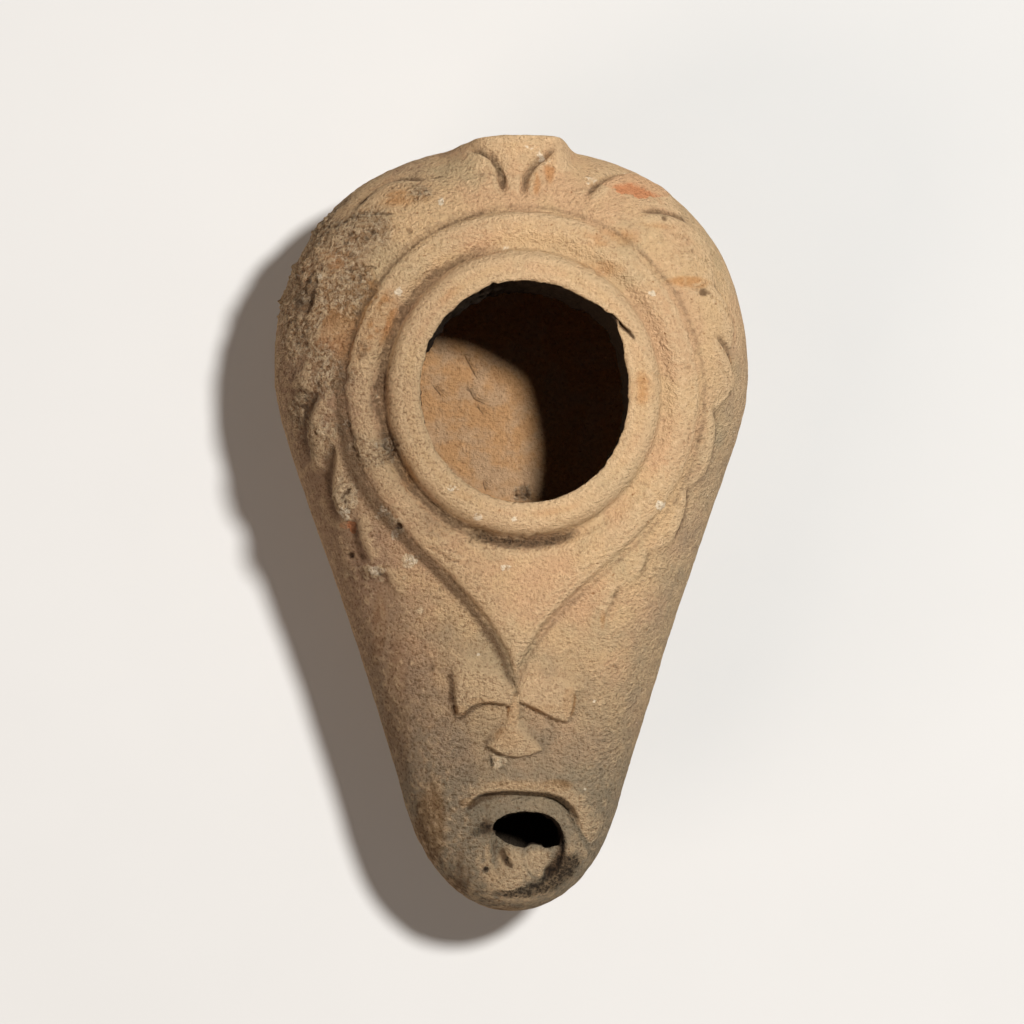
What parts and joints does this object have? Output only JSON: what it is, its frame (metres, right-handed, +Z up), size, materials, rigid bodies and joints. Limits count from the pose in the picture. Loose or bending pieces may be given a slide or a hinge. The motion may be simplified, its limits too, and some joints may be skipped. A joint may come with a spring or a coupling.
{
  "type": "oil lamp",
  "caption": "Pear-shaped mould-made clay oil lamp, hollow, with a round filling hole, a cross and tongues in relief, a wick hole in the nozzle and a grooved handle lug.",
  "frame": {"origin": "on the surface it stands on, under the centre of the lamp's plan box", "axes": "+X to the lamp's right seen from above with the handle away, +Y towards the handle, -Y towards the nozzle, +Z up"},
  "size_m": [0.0614, 0.099, 0.0344],
  "materials": {
    "fired_clay": "unglazed buff fired clay, matt and grainy, with worn relief, brown earth crust and soot at the nozzle"
  },
  "bodies": {
    "root": {"lamp_body": "fired_clay"}
  },
  "joints": []
}
